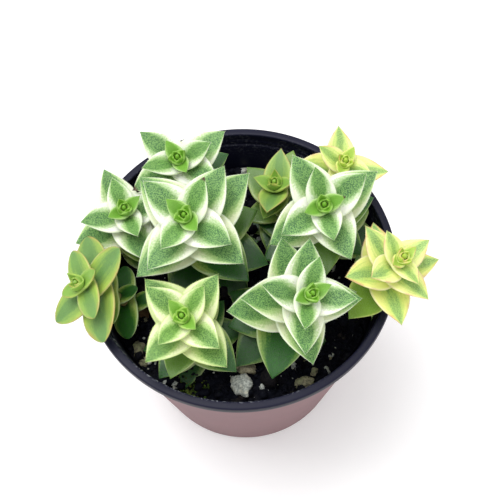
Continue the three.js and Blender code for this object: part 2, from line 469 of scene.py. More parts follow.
@dataclass(frozen=True)
class LeafFinish:
    """Variegated leaf: a stippled green band on a pale leaf, with a papillose edge.

    Attributes:
        name: The material's name.
        fresh: Green of the youngest leaves.
        blade: Green of the grown band.
        speck: Darker green of its fine specks.
        margin: Pale colour beside the band.
        young_margin: The same on young leaves.
        aged_and_shaded_margin: The same on old, low leaves: their own yellower cream, darkened and
            yellowed further as painted shade from the pairs above.
        zone: Colour where the band fades out.
        under: Underside.
        edge: Thin line along the rim of the leaf.
        blush: Colour of sun-stressed edges.
        blush_amount: Strength of the blush, from 0 to 1.
        band_base: Half width of the band at the stem, over the leaf's own.
        band_tip: Half width of the band near the tip.
        feather: How far the band's edge wanders.
        softness: Half width of its fade into the pale margin.
        stipple: Strength of the dark specks.
        roughness: Roughness of the waxy skin.
        subsurface: Share of light that enters the flesh.
    """

    name: str
    fresh: Colour
    blade: Colour
    speck: Colour
    margin: Colour
    young_margin: Colour
    aged_and_shaded_margin: Colour
    zone: Colour
    under: Colour
    edge: Colour
    blush: Colour = paint("b0694a")
    blush_amount: float = 0.0
    band_base: float = 0.08
    band_tip: float = 1.1
    feather: float = 0.4
    softness: float = 0.27
    stipple: float = 0.85
    roughness: float = 0.46
    subsurface: float = 0.12

    @classmethod
    def of(cls, name: str, codes: str, **rest: Any) -> "LeafFinish":
        """A finish from the codes of its nine colours, in the fields' order, fresh to edge."""
        return cls(name, *map(paint, codes.split()), **rest)

    def material(self) -> bpy.types.Material:
        """Builds the leaf material.

        The band's half width grows from band_base at the stem to band_tip at the tip; a point is
        green where its own share across the leaf is less, with two noises added to feather it.
        Dark specks cover only the middle of the band.

        Returns:
            The material.
        """
        g = Graph(self.name)
        place = g.position()
        along, across = g.attribute("along"), g.attribute("across")
        upper, age = g.attribute("upper"), g.attribute("age")
        side = across.absolute()
        streaks = g.node(
            "ShaderNodeCombineXYZ",
            sockets={0: along * 2.2, 1: across * 5.5, 2: g.attribute("tone") * 9.0},
        )
        feathers = g.noise(streaks, 1.0, 3.0, 0.6) - 0.5
        grain = g.noise(place, 0.5 * MM, 1.0) - 0.5
        rise = along**0.85
        band = self.band_base + (self.band_tip - self.band_base) * rise
        grown = g.step(age, 0.0, 0.8)
        band = 1.0 + (band - 1.0) * grown
        inside = band + feathers * self.feather + grain * 0.35 - side
        green = g.step(inside, -self.softness, self.softness)
        core = g.step(inside, 0.0, 0.4) * (0.5 + grown * 0.5)

        specks = g.step(g.noise(place, 0.3 * MM, 1.0, 0.6), 0.41, 0.6) * core
        blade = g.mix(specks * self.stipple, self.blade, self.speck)
        clouds = g.noise(place, 5.0 * MM, 2.0)
        blade = blade * (0.8 + clouds * 0.4)
        blade = g.mix(g.step(age, 0.0, 0.95), self.fresh * (0.8 + clouds * 0.4), blade)
        margin = g.mix(g.step(age, 0.1, 0.9), self.young_margin, self.margin)
        # partly painted shade: old, low pairs take a darker, yellower margin, for their age and
        # for the shade of the pairs above
        margin = g.mix(g.step(age, 1.0, 2.1) * 0.7, margin, self.aged_and_shaded_margin)
        colour = g.mix(green, margin, blade)
        colour = g.mix(green * (1.0 - green) * 1.5 * grown, colour, self.zone)

        below = 1.0 - g.step(upper, 0.4, 0.6)
        under = g.mix(grown, self.fresh, self.under)
        colour = g.mix(below * 0.72, colour, under)
        line = g.step(side + grain * 0.05, 0.91, 0.975)
        rim = g.mix(grown, self.young_margin, self.edge)
        colour = g.mix(line * (0.5 + grown * 0.4), colour, rim)
        if self.blush_amount > 0.0:
            patches = g.step(g.noise(place, 4.0 * MM, 3.0), 0.36, 0.62)
            near_edge = g.step(side * 0.7 + along * 0.5, 0.8, 1.08)
            colour = g.mix(near_edge * patches * self.blush_amount, colour, self.blush)
        burnt = g.step(along + grain * 0.05, 0.9, 0.955) * g.attribute("scorch")
        colour = g.mix(burnt, colour, paint("4a3326"))
        return g.surface(
            colour,
            self.roughness + specks * 0.1 - line * 0.05,
            g.noise(place, 0.3 * MM, 1.0) * 0.7 + specks * 0.3,
            relief=0.00009,
            strength=0.6,
            Subsurface_Weight=self.subsurface,
            Subsurface_Scale=0.002,
            Subsurface_Radius=(1.0, 1.0, 0.4),
            Specular_IOR_Level=0.4,
        )


CREAM = LeafFinish.of(
    "leaf_cream",
    "70a62e 7fab60 265638 f9f9f0 9cc660 d6e0a8 a2ca62 c4d3a0 e9f2d6",
)
BUTTER = LeafFinish.of(
    "leaf_butter",
    "78ac34 80aa56 396631 f1f4cc a8cc62 d0dd94 a6ce5c cdd99a cfe096",
    band_base=0.04, band_tip=1.0,
)
GOLD = LeafFinish.of(
    "leaf_gold",
    "a6c444 a9cb76 678f50 f1f4a4 dcea80 e6e884 c3dc6c dbe49a efe9b0",
    stipple=0.7, softness=0.36, blush=paint("cf8a64"), blush_amount=0.6, band_base=0.0,
    band_tip=0.78, feather=1.0,
)
MEADOW = LeafFinish.of(
    "leaf_meadow",
    "86ae46 6c944f 5f874c a6bf58 a9c85e abb85a 8bae52 9ab060 b2b268",
    blush=paint("bd7a56"), blush_amount=0.4, band_base=0.3, band_tip=0.85, feather=0.9,
    softness=0.45, stipple=0.6, roughness=0.3,
)
# Old, low pairs: their own deeper, plainer green, darkened further as painted shade of the pot and
# of the pairs above.
SHADE = LeafFinish.of(
    "leaf_shade",
    "7a9c40 2f6424 1f481e a3b662 adb95c a3b262 5a8c34 456c34 b0c48c",
    band_base=0.35, band_tip=1.1, feather=0.55, roughness=0.24, subsurface=0.05,
)


@dataclass(frozen=True)
class StemFinish:
    """Stem skin: green under the leaves, corky brown below, with pale rings at the nodes."""

    green: Colour = paint("8aa24e")
    cork: Colour = paint("6d5237")

    def material(self) -> bpy.types.Material:
        """Builds the material from the points' depth and ring fields.

        Returns:
            The material.
        """
        g = Graph("stem_bark")
        place = g.position()
        depth, ring = g.attribute("depth"), g.attribute("ring")
        clouds = g.noise(place, 1.2 * MM, 3.0)
        colour = g.mix(g.step(depth + clouds * 0.3, 0.35, 0.8), self.green, self.cork)
        colour = g.mix(ring * 0.5, colour, paint("a8946a"))
        colour = colour * (0.75 + clouds * 0.5)
        return g.surface(colour, 0.6 + clouds * 0.25, clouds, relief=0.0002, strength=0.7)


@dataclass(frozen=True)
class PotFinish:
    """Two-tone pot plastic: near-black inside and on the lip, matt brown outside."""

    black: Colour = (0.003, 0.0035, 0.012)
    bloom: Colour = (0.012, 0.012, 0.036)
    brown: Colour = paint("84676a")
    dust: Colour = paint("a9acb4")

    def material(self) -> bpy.types.Material:
        """Builds the pot material.

        A point is on the brown outer skin where it lies on the tapered wall's outer face, below
        the lip. Pale dust lies on the inner wall near the lip, most of it at the front left.

        Returns:
            The material.
        """
        g = Graph("pot_plastic")
        place = g.position()
        x, y, z = (g.axis(place, name) for name in "XYZ")
        radius = (x * x + y * y) ** 0.5
        wall = POT.base_radius * MM + z * POT.taper
        below_lip = g.step(z, (POT.lip_under + 0.1) * MM, (POT.lip_under - 0.2) * MM)
        outer = g.step(radius - wall, -0.7 * MM, -0.4 * MM) * below_lip

        clouds = g.noise(place, 9.0 * MM, 4.0, 0.6)
        fine = g.noise(place, 0.5 * MM, 2.0)
        lathe = g.node("ShaderNodeCombineXYZ", sockets={0: radius * 40.0, 1: z * 40.0, 2: x * 1.5})
        scuffs = g.step(g.noise(lathe, 0.006, 3.0, 0.7), 0.56, 0.72)

        black = g.mix(clouds * 0.3, self.black, self.bloom)
        top = g.step(z, (POT.lip_top - 0.8) * MM, (POT.lip_top - 0.1) * MM)
        black = g.mix(top * (0.35 + scuffs * 0.3), black, self.bloom)
        brown = self.brown * (0.86 + clouds * 0.28)
        colour = g.mix(outer, black, brown)

        grains = g.step(g.noise(place, 0.8 * MM, 3.0, 0.7), 0.5, 0.62)
        patches = g.step(g.noise(place, 14.0 * MM, 2.0), 0.36, 0.56)
        inner = g.step(radius, 48.2 * MM, 47.0 * MM) * g.step(z, 66.0 * MM, 78.0 * MM)
        inner *= 1.0 - outer
        front_left = g.step(x * -0.5 + y * -0.86, 20.0 * MM, 42.0 * MM)
        dusty = grains * patches * inner * (0.12 + front_left * 0.95)
        colour = g.mix(dusty, colour, self.dust)
        return g.surface(
            colour,
            0.4 + outer * 0.2 + clouds * 0.12 + dusty * 0.3,
            clouds * 0.6 + fine * 0.4,
            relief=0.00012,
            strength=0.5,
            Specular_IOR_Level=0.2,
        )


@dataclass(frozen=True)
class GroundFinish:
    """Loose material of the potting mix: grains of one colour, with painted shade in the hollows
    of their bump.

    Attributes:
        name: The material's name.
        dark: Colour in the hollows of the bump, painted shade between the grains.
        light: Colour on the grains.
        accent: Colour of scattered patches.
        accent_share: Strength of those patches.
        grain: Size of the pattern, in millimetres.
        roughness: Roughness.
        relief: Height of the bump, in millimetres.
    """

    name: str
    dark: Colour
    light: Colour
    accent: Colour
    accent_share: float = 0.5
    grain: float = 1.0
    roughness: float = 0.85
    relief: float = 0.2

    def material(self) -> bpy.types.Material:
        """Builds the material: two cloud sizes mix the colours and shape the bump, so the dark
        colour is painted shade in the bump's hollows.

        Returns:
            The material.
        """
        g = Graph(self.name)
        place = g.position()
        clouds = g.noise(place, self.grain * MM, 4.0, 0.65)
        broad = g.noise(place, self.grain * 6.0 * MM, 2.0)
        # painted shade: the dark colour lies where the same clouds make the bump low
        colour = g.mix(g.step(clouds, 0.35, 0.68), self.dark, self.light)
        patches = g.step(broad * 0.6 + clouds * 0.4, 0.5, 0.62)
        colour = g.mix(patches * self.accent_share, colour, self.accent)
        return g.surface(
            colour,
            self.roughness - g.step(clouds, 0.55, 0.75) * 0.15,
            clouds,
            relief=self.relief * MM,
            Specular_IOR_Level=0.15,
        )


PEAT = GroundFinish(
    "peat", (0.001, 0.0015, 0.005), (0.005, 0.006, 0.013), (0.013, 0.011, 0.014),
    0.5, 0.9, 0.8, 0.4)
BARK = GroundFinish(
    "bark_chip", (0.004, 0.004, 0.006), (0.016, 0.013, 0.014), (0.04, 0.03, 0.024), 0.4, 1.1)
PERLITE = GroundFinish("perlite", paint("8f958f"), paint("dfe3da"), paint("c9c2a6"), 0.5, 0.7, 0.8)
GRIT = GroundFinish("grit", paint("6d6a58"), paint("a8a184"), paint("7e8560"), 0.6, 0.8, 0.75)
MOSS = GroundFinish("moss", paint("2a3a17"), paint("56702c"), paint("7c7f3a"), 0.5, 0.5, 0.95, 0.3)


# ---- the pot --------------------------------------------------------------------------------


@dataclass
class NurseryPot:
    """Thin moulded pot with a flat lip, a stacking step, a raised floor and drain holes.

    Attributes:
        base_radius: Outer radius at the foot.
        taper: Outer radius gained per unit of height.
        wall: Thickness of the wall.
        round_over: Most that a corner is cut back by its curve.
        around: Points round the pot.
        hole_radius: Radius of a drain hole.
        hole_circle: Radius of the circle they stand on.
        hole_count: Number of drain holes.
        lip_under: Height of the lip's underside.
        lip_top: Height of its top.
        lip_radius: Its outer radius.
        clearance: Room kept between the wall and what lies inside it.
    """

    base_radius: float = 35.0
    taper: float = 0.1706
    wall: float = 1.3
    round_over: float = 0.7
    around: int = 224
    hole_radius: float = 3.0
    hole_circle: float = 20.0
    hole_count: int = 8
    lip_under: float = 76.8
    lip_top: float = 80.0
    lip_radius: float = 50.0
    clearance: float = 0.8

    def outer(self, z: float) -> float:
        """Outer radius of the wall at a height."""
        return self.base_radius + self.taper * z

    def inner(self, z: float) -> float:
        """Inner radius of the wall at a height."""
        return self.outer(z) - self.wall

    def keep_inside(self, points: Floats) -> Floats:
        """Points moved towards the axis where they would touch the wall.

        The furthest that a point may lie from the axis is the inner radius less the clearance up
        to the lip, and above the lip it grows by 2.5 mm for each millimetre of height.

        Args:
            points: Places, one row each.

        Returns:
            The places, moved where needed.
        """
        z = points[:, 2]
        over_lip = np.maximum(z - self.lip_top - 1.2, 0.0)
        limit = self.inner(np.minimum(z, self.lip_under - 0.8)) - self.clearance + 2.5 * over_lip
        away = np.hypot(points[:, 0], points[:, 1])
        share = np.minimum(1.0, limit / np.maximum(away, 1e-6))
        return points * np.column_stack([share, share, np.ones_like(share)])

    def outline(self) -> Floats:
        """Corners of the section, from the underside's centre round to the floor's centre."""
        under, top, lip = self.lip_under, self.lip_top, self.lip_radius
        return np.array([
            (0.0, 0.0), (9.0, 0.0), (9.5, 1.5), (29.0, 1.5), (29.5, 0.0), (34.7, 0.0),
            (self.outer(0.3), 0.3), (self.outer(40.0), 40.0), (self.outer(under), under),
            (lip - 0.4, under), (lip, under + 0.4), (lip, top - 0.4), (lip - 0.4, top),
            (47.7, top), (47.3, top - 0.4), (47.3, 76.9), (47.0, 76.2), (47.0, 74.9),
            (self.inner(74.5), 74.5), (self.inner(40.0), 40.0), (self.inner(4.0), 4.0),
            (self.inner(3.0) - 1.0, 3.0), (0.0, 3.0),
        ])

    def section(self) -> Floats:
        """The outline with each corner rounded.

        A corner P between neighbours A and B becomes the parabola P + (1-t)^2 p + t^2 q, where p
        and q reach from P towards A and B by round_over, or by 0.45 of that side if it is less.

        Returns:
            Points of the rounded section.
        """
        line = self.outline()
        corner, before, after = line[1:-1], line[:-2], line[2:]
        back, ahead = before - corner, after - corner
        reach = np.minimum(self.round_over, 0.45 * np.linalg.norm(back, axis=1))
        reach_on = np.minimum(self.round_over, 0.45 * np.linalg.norm(ahead, axis=1))
        share = np.linspace(0.0, 1.0, 5)[None, :, None]
        arcs = (
            corner[:, None]
            + (1.0 - share) ** 2 * (unit(back) * reach[:, None])[:, None]
            + share**2 * (unit(ahead) * reach_on[:, None])[:, None]
        )
        return np.concatenate([line[:1], arcs.reshape(-1, 2), line[-1:]])

    def shell(self) -> Shell:
        """The rounded section turned round the axis, with one point at each pole.

        Returns:
            The closed skin.
        """
        section = self.section()
        rings = turned_rings(*section[1:-1].T, self.around)
        return Shell.tube(rings, [[0.0, 0.0, section[0, 1]], [0.0, 0.0, section[-1, 1]]])

    def drill(self, piece: bpy.types.Object) -> None:
        """Cuts the drain holes through the floor.

        Args:
            piece: The pot, whose mesh is replaced by the drilled one.
        """
        ends = np.array([[0.0, 0.0, -2.0], [0.0, 0.0, 6.0]])
        rings = turned_rings([self.hole_radius] * 2, ends[:, 2], 48)
        rods = []
        for number in range(self.hole_count):
            turn = math.tau * (number + 0.5) / self.hole_count
            centre = self.hole_circle * np.array([math.cos(turn), math.sin(turn), 0.0])
            rods.append(Shell.tube(rings + centre, ends + centre))
        cutter = Shell.joined(rods).to_object("drain_cutter", piece.data.materials[0])
        boolean = piece.modifiers.new("drain", "BOOLEAN")
        boolean.operation, boolean.solver, boolean.object = "DIFFERENCE", "EXACT", cutter
        graph = bpy.context.evaluated_depsgraph_get()
        drilled = bpy.data.meshes.new_from_object(piece.evaluated_get(graph))
        piece.modifiers.clear()
        piece.data = drilled
        bpy.data.objects.remove(cutter)

    def build(self) -> None:
        """Makes the pot, drills it, dresses it and settles it in the frame."""
        piece = self.shell().to_object("moulded_pot", PotFinish().material())
        self.drill(piece)
        piece.data.name = "moulded_pot"
        piece.data.set_sharp_from_angle(angle=math.radians(50.0))
        settle(piece, Slot.POT, "nursery_pot")


POT = NurseryPot()


# ---- the potting mix ------------------------------------------------------------------------


@dataclass(frozen=True)
class Grains:
    """A batch of loose grains that lie on the mix.

    Attributes:
        name: Name of the piece.
        finish: What they are made of.
        count: How many.
        size: Smallest and largest radius.
        flatness: Smallest height over radius.
        centre: Middle of the batch.
        spread: Radius of the batch round its middle.
        sunk: Share of the height below the surface.
        rows: Rings of points on a grain.
        columns: Points on a ring.
        rough: Unevenness over the radius.
    """

    name: str
    finish: GroundFinish
    count: int
    size: tuple[float, float]
    flatness: float = 0.6
    centre: tuple[float, float] = (0.0, 0.0)
    spread: float = 43.5
    sunk: float = 0.2
    rows: int = 4
    columns: int = 7
    rough: float = 0.3


@dataclass(frozen=True)
class Lump:
    """One larger lump of perlite or grit: its place, its half sizes and its turn in degrees."""

    x: float
    y: float
    half: tuple[float, float, float]
    turn: float


def grain_shell(
    centres: Floats,
    halves: Floats,
    turns: Floats,
    rows: int,
    columns: int,
    rough: float,
    noise: Roughcast,
) -> Shell:
    """Uneven balls: a globe of points, each pushed out by noise, scaled, turned and placed.

    A globe point is (cos v cos u, cos v sin u, sin v) for even steps of u and v, with one point at
    each pole, times 1 + rough * noise.

    Args:
        centres: Middle of each grain.
        halves: Its three half sizes.
        turns: Turn about its axis and two tilts, in radians.
        rows: Rings of points.
        columns: Points on a ring.
        rough: Unevenness over the radius.
        noise: Random heights.

    Returns:
        All the grains as one skin.
    """
    v = np.linspace(-math.pi / 2, math.pi / 2, rows + 2)[1:-1]
    globe = Shell.tube(turned_rings(np.cos(v), np.sin(v), columns), [[0, 0, -1], [0, 0, 1]])
    number = len(centres)
    spots = globe.points[None] * 2.0 + 5.7 * np.arange(number)[:, None, None]
    swell = 1.0 + rough * noise.layered(spots, 1.6, 3)
    shaped = globe.points[None] * swell[..., None] * halves[:, None, :]
    a, b, c = turns.T
    for angle, (p, q) in ((b, (1, 2)), (c, (0, 2)), (a, (0, 1))):
        cosine, sine = np.cos(angle)[:, None], np.sin(angle)[:, None]
        first, second = shaped[..., p].copy(), shaped[..., q].copy()
        shaped[..., p] = cosine * first - sine * second
        shaped[..., q] = sine * first + cosine * second
    points = (shaped + centres[:, None]).reshape(-1, 3)
    starts = (np.arange(number) * len(globe.points))[:, None, None]
    quads = (globe.quads[None] + starts).reshape(-1, 4)
    triangles = (globe.triangles[None] + starts).reshape(-1, 3)
    return Shell(points, quads, triangles).outward()


@dataclass
class PottingMix:
    """Dark peaty bed with perlite, grit, bark and a little moss on it.

    Attributes:
        level: Height of the surface.
        radius: Radius of the bed at its surface.
        floor_radius: Radius at its underside.
        floor: Height of its underside.
        rings: Rings of points on the surface.
        around: Points round the bed.
        noise: Random heights.
    """

    level: float = 65.0
    radius: float = 44.2
    floor_radius: float = 33.0
    floor: float = 3.4
    rings: int = 120
    around: int = 400
    noise: Roughcast = field(default_factory=lambda: Roughcast(11))

    def height(self, x: ArrayLike, y: ArrayLike) -> Floats:
        """Height of the surface.

        The level, two long waves, a slump at the wall, clods from the larger noise and crumbs
        from the finer one, whose rounded tops come from its absolute value.

        Args:
            x: Places along X.
            y: Places along Y.

        Returns:
            The height at each place.
        """
        x, y = np.asarray(x, float), np.asarray(y, float)
        spots = np.stack([x, y, np.zeros_like(x)], axis=-1)
        away = np.hypot(x, y)
        waves = 0.5 * (np.sin(x / 4.8 + 1.0) * np.cos(y / 5.4) + np.sin((x + y) / 2.7) * 0.5)
        clods = self.noise.layered(spots, 6.0, 2) * 0.9
        crumbs = 0.9 - np.abs(self.noise.layered(spots + 31.0, 2.4, 3)) * 1.6
        slump = 1.1 * smooth_step(away, 39.0, self.radius)
        return self.level - 0.9 + waves * 0.6 + clods + crumbs - slump

    def bed(self) -> Shell:
        """The bed: rings of the underside, the side and the surface, closed by two poles.

        Returns:
            The closed skin.
        """
        turn = angles_round(self.around)
        reach = self.radius * np.linspace(1.0, 0.012, self.rings) ** 0.8
        x, y = reach[:, None] * np.cos(turn), reach[:, None] * np.sin(turn)
        surface = np.stack([x, y, self.height(x, y)], axis=-1)
        side = turned_rings(
            [self.floor_radius * 0.5, self.floor_radius, self.radius - 0.4],
            [self.floor, self.floor, self.level - 4.0],
            self.around,
        )
        poles = [[0.0, 0.0, self.floor], [0.0, 0.0, float(self.height(0.0, 0.0))]]
        return Shell.tube(np.concatenate([side, surface]), poles)

    def scatter(self, batch: Grains, seed: int) -> None:
        """Scatters one batch of grains over the surface.

        Args:
            batch: What to scatter.
            seed: Seed of the places and sizes.
        """
        rng = np.random.default_rng(seed)
        turn = rng.uniform(0.0, math.tau, batch.count)
        away = batch.spread * np.sqrt(rng.uniform(0.0, 1.0, batch.count))
        x = batch.centre[0] + away * np.cos(turn)
        y = batch.centre[1] + away * np.sin(turn)
        inside = np.minimum(1.0, (self.radius - 1.2) / np.maximum(np.hypot(x, y), 1e-6))
        x, y = x * inside, y * inside
        low, high = batch.size
        radius = low + (high - low) * rng.uniform(0.0, 1.0, batch.count) ** 2.2
        stretch = rng.uniform(0.65, 1.0, batch.count)
        flat = rng.uniform(batch.flatness, 1.0, batch.count)
        halves = np.stack([radius, radius * stretch, radius * flat], axis=1)
        z = self.height(x, y) + halves[:, 2] * (1.0 - 2.0 * batch.sunk)
        turns = rng.normal(0.0, 0.35, (batch.count, 3))
        turns[:, 0] = rng.uniform(0.0, math.tau, batch.count)
        shell = grain_shell(
            np.stack([x, y, z], axis=1), halves, turns,
            batch.rows, batch.columns, batch.rough, self.noise,
        )
        shell.points = POT.keep_inside(shell.points)
        settle(shell.to_object(batch.name, batch.finish.material()), Slot.MIX)

    def lay(self, name: str, lumps: Sequence[Lump], finish: GroundFinish, sunk: float) -> None:
        """Lays larger lumps at their own places.

        Args:
            name: Name of the piece.
            lumps: The lumps.
            finish: What they are made of.
            sunk: Share of the height below the surface.
        """
        x = np.array([lump.x for lump in lumps])
        y = np.array([lump.y for lump in lumps])
        halves = np.array([lump.half for lump in lumps])
        z = self.height(x, y) + halves[:, 2] * (1.0 - 2.0 * sunk)
        turns = np.radians([[lump.turn, 12.0, -9.0] for lump in lumps])
        shell = grain_shell(np.stack([x, y, z], axis=1), halves, turns, 22, 36, 0.3, self.noise)
        shell.points = POT.keep_inside(shell.points)
        settle(shell.to_object(name, finish.material()), Slot.MIX)

    def build(self) -> None:
        """Makes the bed and everything that lies on it."""
        settle(self.bed().to_object("peat_bed", PEAT.material()), Slot.MIX, "potting_mix")
        for number, batch in enumerate(GRAINS):
            self.scatter(batch, 100 + number)
        self.lay("perlite_lumps", PERLITE_LUMPS, PERLITE, 0.3)
        self.lay("grit_lumps", GRIT_LUMPS, GRIT, 0.35)


GRAINS = (
    Grains("peat_crumbs", PEAT, 1100, (0.5, 1.9), rough=0.45),
    Grains("bark_chips", BARK, 110, (0.9, 3.2), flatness=0.25, rough=0.35, rows=5, columns=8),
    Grains("perlite_specks", PERLITE, 260, (0.14, 0.55), rough=0.35),
    Grains("perlite_crumbs", PERLITE, 34, (0.5, 1.3), rough=0.4, rows=6, columns=9),
    Grains("grit_crumbs", GRIT, 60, (0.4, 1.2), rough=0.35, rows=5, columns=8),
    Grains("moss_tufts", MOSS, 110, (0.3, 0.9), centre=(-16.5, -37.0), spread=5.0, rough=0.6),
)
PERLITE_LUMPS = (
    Lump(-1.2, -37.6, (3.0, 3.9, 2.6), 20.0),
    Lump(15.6, -31.0, (0.9, 1.4, 0.9), 10.0),
    Lump(25.5, -33.2, (1.5, 1.3, 1.1), 40.0),
    Lump(-22.8, -35.0, (1.5, 0.9, 0.8), -20.0),
    Lump(5.1, -38.2, (1.1, 0.9, 0.8), 0.0),
    Lump(27.8, -28.2, (0.7, 0.7, 0.5), 0.0),
    Lump(2.4, 43.0, (1.9, 1.5, 1.8), 15.0),
    Lump(8.0, 39.5, (1.2, 1.0, 0.9), 60.0),
    Lump(-3.5, 20.5, (1.6, 1.2, 1.0), 30.0),
    Lump(30.5, 2.5, (1.4, 1.0, 1.0), 75.0),
)
GRIT_LUMPS = (
    Lump(-0.4, -31.4, (3.6, 2.3, 2.2), -25.0),
    Lump(18.6, -37.2, (3.1, 1.8, 1.6), 12.0),
    Lump(-34.2, -23.2, (2.3, 2.4, 1.6), 0.0),
    Lump(-32.0, -27.0, (2.0, 1.6, 1.4), 25.0),
    Lump(21.6, -33.8, (1.3, 1.3, 1.0), 0.0),
    Lump(10.2, 40.2, (1.7, 1.2, 1.1), 0.0),
)


# ---- shoots ---------------------------------------------------------------------------------


class StemAxis:
    """A stem's centre line, read by the distance below its tip.

    It is a quadratic Bezier from the rooted foot to the tip. Its middle point lies back from the
    tip along the slope, by half the straight distance.
    """

    ROOT_Z = 52.0

    def __init__(
        self, foot: Sequence[float], tip: Sequence[float], slope: Sequence[float],
    ) -> None:
        """Works out the line.

        Args:
            foot: X and Y of the rooted end.
            tip: Place of the growing tip.
            slope: X and Y run for each unit of rise at the tip.
        """
        start, end = np.array([*foot, self.ROOT_Z]), np.array(tip, float)
        middle = end - unit([*slope, 1.0]) * 0.5 * np.linalg.norm(end - start)
        t = np.linspace(0.0, 1.0, 401)[:, None]
        self.line = (1 - t) ** 2 * start + 2 * t * (1 - t) * middle + t**2 * end
        self.heading = unit((1 - t) * (middle - start) + t * (end - middle))
        steps = np.linalg.norm(np.diff(self.line, axis=0), axis=1)
        self.run = np.concatenate([[0.0], np.cumsum(steps)])
        self.length = float(self.run[-1])

    def at(self, depth: ArrayLike) -> tuple[Floats, Floats]:
        """Places and headings at distances below the tip.

        Args:
            depth: The distances.

        Returns:
            The places, and the unit headings towards the tip.
        """
        where = self.length - np.asarray(depth, float)
        place = np.stack([np.interp(where, self.run, self.line[:, k]) for k in range(3)], -1)
        heading = np.stack([np.interp(where, self.run, self.heading[:, k]) for k in range(3)], -1)
        return place, unit(heading)

    @staticmethod
    def radius(depth: ArrayLike) -> Floats:
        """Stem radius at a depth: 0.9 mm at the tip, thickening by 0.028 mm per millimetre."""
        return 0.9 + 0.028 * np.asarray(depth, float)


@dataclass(frozen=True)
class LeafPair:
    """Two opposite leaves joined round the stem.

    Attributes:
        depth: Distance of the pair below the tip.
        turn: Compass turn of its first leaf, in degrees.
        reach: Length of a leaf from the stem's axis.
        lift: Degrees by which the leaves stand above square to the stem.
        age: 0 for a leaf just opened, 1 for a grown one, 2 for an old one.
        seed: Seed of its own small differences.
        bend: Degrees by which a leaf flattens towards its tip.
        partner: Size of the second leaf over the first.
        scorch: Browning of the first and of the second leaf's tip, from 0 to 1.
        stations: Points round the outline.
        rings: Points round a cross-section.
        hairs: Whether the rim carries papillae.
        blunt: Whether the leaves are ovals with round tips.
    """

    depth: float
    turn: float
    reach: float
    lift: float
    age: float
    seed: int
    bend: float = 24.0
    partner: float = 1.0
    scorch: tuple[float, float] = (0.0, 0.0)
    stations: int = 144
    rings: int = 29
    hairs: bool = True
    blunt: bool = False

    SPREADS: ClassVar[tuple[float, ...]] = (0.035, 0.07, 0.012)  # of sickle, twist and length
    SLEEVE: ClassVar[float] = 0.2  # room between the stem and the pair's hole
    FLESH: ClassVar[tuple[float, float]] = (0.85, 0.05)  # thickness, and its gain over the reach
    OVAL: ClassVar[float] = 2.6  # power of the cross-section's flattened oval
    GROOVES: ClassVar[tuple[float, float]] = (-0.16, -0.26)  # upper and under channel
    CUP: ClassVar[float] = 0.03  # rise of the rims, over the reach
    WAVE: ClassVar[float] = 0.012  # height of the rim's waves, over the reach
    STEEPEN: ClassVar[float] = 12.0  # degrees above its lift at which a leaf leaves the stem

    def half_breadth(self, share: ArrayLike) -> Floats:
        """Half breadth of a leaf over its reach, at a share s of the way from stem to tip.

        It is 0.3 (1 - s)^1.1 (1 + 2.9 s), or 0.3 (1 - s)^0.66 (1 + 1.7 s) for a blunt leaf.

        Args:
            share: Share of the way.

        Returns:
            The half breadth over the reach.
        """
        s = np.clip(np.asarray(share, float), 0.0, 1.0)
        taper, gain = (0.66, 1.7) if self.blunt else (1.1, 2.9)
        return 0.3 * (1.0 - s) ** taper * (1.0 + gain * s)

    def shell(self, axis: StemAxis) -> Shell:
        """The pair's skin, placed on its stem.

        In the plane, u runs round the outline, whose points are (cos u, half breadth of |cos u|)
        times the reach, and v runs round the cross-section from the stem up over the upper face,
        through the rim and back along the underside. The plane is then bent: a point at distance
        r from the axis goes along an arc whose slope eases by bend over the reach, and its
        offset from the leaf's middle goes along the arc's normal.

        Args:
            axis: The stem's centre line.

        Returns:
            The closed skin with its fields, and its papillae.
        """
        rng = np.random.default_rng(self.seed)
        bowed, turned, longer = self.SPREADS
        sickle, twist = rng.normal(0.0, bowed, 2), rng.normal(0.0, turned, 2)
        wave_at, stretch = rng.uniform(0.0, 6.0, 2), 1.0 + rng.normal(0.0, longer, 2)
        u = angles_round(self.stations)[:, None]
        v = np.linspace(0.0, math.pi, self.rings)[None]

        def pick(pair: Sequence[float]) -> Floats:
            """The first or the second leaf's value at each point of the outline."""
            return np.where(np.cos(u) >= 0.0, pair[0], pair[1])

        second = smooth_step(-np.cos(u), -0.35, 0.35)
        reach = self.reach * (1.0 + (self.partner - 1.0) * second)
        hole = float(axis.radius(self.depth)) + self.SLEEVE
        thickness = self.FLESH[0] + self.FLESH[1] * self.reach

        outline_s = np.abs(np.cos(u)) * np.ones_like(v)
        edge_along = np.cos(u) * reach
        edge_across = np.sign(np.sin(u)) * self.half_breadth(outline_s) * reach
        edge_flat = np.maximum(np.hypot(edge_along, edge_across), 1e-9)
        cos_d, sin_d = edge_along / edge_flat, edge_across / edge_flat
        r = hole + np.sin(v) * (edge_flat - hole)
        along, across = cos_d * r, sin_d * r
        s = np.clip(np.abs(along) / reach, 0.0, 1.0)
        t = across / np.maximum(self.half_breadth(s) * reach, 1e-6)
        t = np.clip(t, -1.0, 1.0)

        body = (1.0 - np.sin(v) ** self.OVAL) ** (1 / self.OVAL) * np.sign(np.cos(v))
        offset = 0.5 * thickness * body * (1.0 - 0.3 * s**2)
        swell = s * (1.0 - s) * 4.0
        groove = np.where(np.cos(v) > 0.0, *self.GROOVES)
        channel = groove * thickness * (1.0 - t**2) ** 2 * swell
        cupping = self.CUP * self.reach * (t**2 - 0.4) * s * (1.2 - s)
        wave = self.WAVE * self.reach * np.abs(t) ** 3 * np.sin(7.0 * s + pick(wave_at)) * s
        offset = offset + channel + cupping + wave + pick(twist) * across * s
        across = across + pick(sickle) * self.reach * s**2
        along = along * (1.0 + (pick(stretch) - 1.0) * s)
        flat = np.maximum(np.hypot(along, across), 1e-9)
        cos_d, sin_d = along / flat, across / flat
        out = np.maximum(flat, hole)

        steep = math.radians(self.lift + self.STEEPEN)
        easing = -math.radians(self.bend) / self.reach
